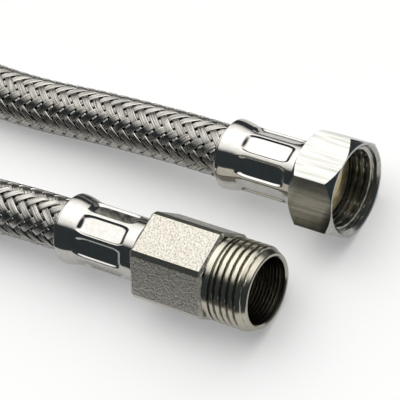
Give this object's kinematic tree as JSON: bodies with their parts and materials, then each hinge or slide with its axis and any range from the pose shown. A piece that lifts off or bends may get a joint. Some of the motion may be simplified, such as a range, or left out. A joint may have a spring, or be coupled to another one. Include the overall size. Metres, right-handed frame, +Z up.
{
  "type": "flexible hose connector",
  "caption": "Flexible water connector: a rubber hose in a woven stainless steel braid, crimped into ferrules between a hexagonal male threaded nipple and a swivel nut.",
  "frame": {"origin": "on the floor, under the middle of the box round the two metal ends, without the hose", "axes": "+X out of both mouths along the ends' axes, +Z up from the floor, +Y from the male end toward the nut"},
  "size_m": [0.2664, 0.1274, 0.023],
  "materials": {
    "nickel_plated_brass": "bright nickel plating over turned and milled brass",
    "polished_stainless": "pressed stainless sheet, polished like a mirror",
    "bare_brass": "turned brass, not plated",
    "stainless_wire": "bright drawn wire, woven",
    "black_rubber": "smooth black rubber"
  },
  "bodies": {
    "connector": {"male_nipple": "nickel_plated_brass", "male_ferrule": "polished_stainless", "female_tail": "bare_brass", "female_ferrule": "polished_stainless", "wire_braid": "stainless_wire", "rubber_liner": "black_rubber"},
    "nut": {"swivel_nut": "nickel_plated_brass"}
  },
  "joints": [
    {"name": "nut_spin", "type": "hinge", "parent": "connector", "child": "nut", "pos_m": [0.03235, 0.01486, 0.0115], "axis": [1, 0, 0], "continuous": true}
  ]
}
